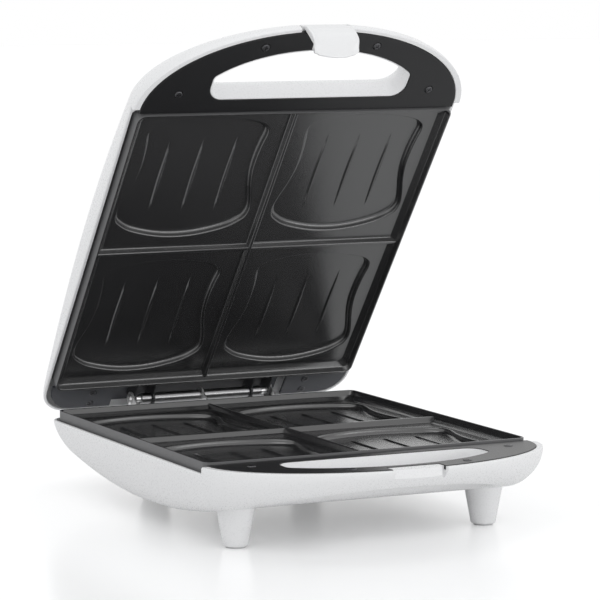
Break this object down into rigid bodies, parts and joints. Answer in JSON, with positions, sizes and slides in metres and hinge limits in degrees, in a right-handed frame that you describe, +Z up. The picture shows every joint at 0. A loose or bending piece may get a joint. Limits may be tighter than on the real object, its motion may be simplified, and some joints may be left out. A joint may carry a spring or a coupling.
{
  "type": "sandwich maker",
  "caption": "Hinged countertop sandwich toaster with toast-shaped pockets in two coated plates, looped handles at the front and a snap latch.",
  "frame": {"origin": "on the table, under the middle of the part's outline with the lid at rest", "axes": "+Z up, -Y from the hinge to the handles, +X along the hinge toward the right as seen from the handles"},
  "size_m": [0.2616, 0.3848, 0.3563],
  "materials": {
    "white_shell": "satin white",
    "black_trim": "satin black",
    "coated_plate": "dark non-stick coating on cast aluminium",
    "heater_sheath": "oxidised steel sheath",
    "reflector_sheet": "bright sheet steel",
    "dark_screw": "blackened steel",
    "bright_screw": "plated steel",
    "foot_rubber": "grey rubber",
    "ceramic": "off-white ceramic",
    "blue_lead": "silicone insulation",
    "red_lead": "silicone insulation",
    "gland_rubber": "black rubber",
    "chromed_bracket": "chromed sheet steel",
    "hinge_steel": "turned steel",
    "liner": "dark blue-grey plastic",
    "red_lens": "clear red lens",
    "green_lens": "clear green lens",
    "lamp_board": "circuit board"
  },
  "bodies": {
    "base": {"base_shell": "white_shell", "base_trim": "black_trim", "lower_plate": "coated_plate", "lower_heater": "heater_sheath", "lower_reflector": "reflector_sheet", "base_trim_screw_1": "dark_screw", "base_trim_screw_2": "dark_screw", "base_trim_screw_3": "dark_screw", "base_trim_screw_4": "dark_screw", "foot_pad_1": "foot_rubber", "foot_pad_2": "foot_rubber", "foot_pad_3": "foot_rubber", "foot_pad_4": "foot_rubber", "lower_plate_screw_1": "bright_screw", "lower_plate_screw_2": "bright_screw", "thermostat": "ceramic", "thermal_fuse": "ceramic", "terminal_block": "ceramic", "heater_lead_blue": "blue_lead", "heater_lead_red": "red_lead", "cord_gland": "gland_rubber", "hinge_bracket_lower": "chromed_bracket", "lower_bracket_screw_1": "bright_screw", "lower_bracket_screw_2": "bright_screw", "hinge_rod": "hinge_steel", "long_sleeve_left": "hinge_steel", "long_sleeve_right": "hinge_steel", "short_sleeve_left": "hinge_steel", "short_sleeve_right": "hinge_steel"},
    "lid": {"lid_shell": "white_shell", "lid_trim": "black_trim", "upper_plate": "coated_plate", "upper_heater": "heater_sheath", "upper_reflector": "reflector_sheet", "lid_trim_screw_1": "dark_screw", "lid_trim_screw_2": "dark_screw", "lid_trim_screw_3": "dark_screw", "lid_trim_screw_4": "dark_screw", "upper_plate_screw_1": "bright_screw", "upper_plate_screw_2": "bright_screw", "rear_liner_left": "liner", "rear_liner_right": "liner", "rear_liner_screw_left_1": "dark_screw", "rear_liner_screw_left_2": "dark_screw", "rear_liner_screw_right_1": "dark_screw", "rear_liner_screw_right_2": "dark_screw", "hinge_bracket_upper": "chromed_bracket", "upper_bracket_screw_1": "bright_screw", "upper_bracket_screw_2": "bright_screw", "lamp_lens_red": "red_lens", "lamp_lens_green": "green_lens", "lamp_board": "lamp_board"},
    "latch": {"latch_clip": "white_shell", "latch_pin": "hinge_steel"}
  },
  "joints": [
    {"name": "lid_hinge", "type": "hinge", "parent": "base", "child": "lid", "pos_m": [0, 0.17178, 0.0645], "axis": [1, 0, 0], "range_deg": [-47.7, 52.3]},
    {"name": "latch_pivot", "type": "hinge", "parent": "lid", "child": "latch", "pos_m": [0, -0.03938, 0.35199], "axis": [-1, 0, 0], "range_deg": [0, 45]}
  ]
}
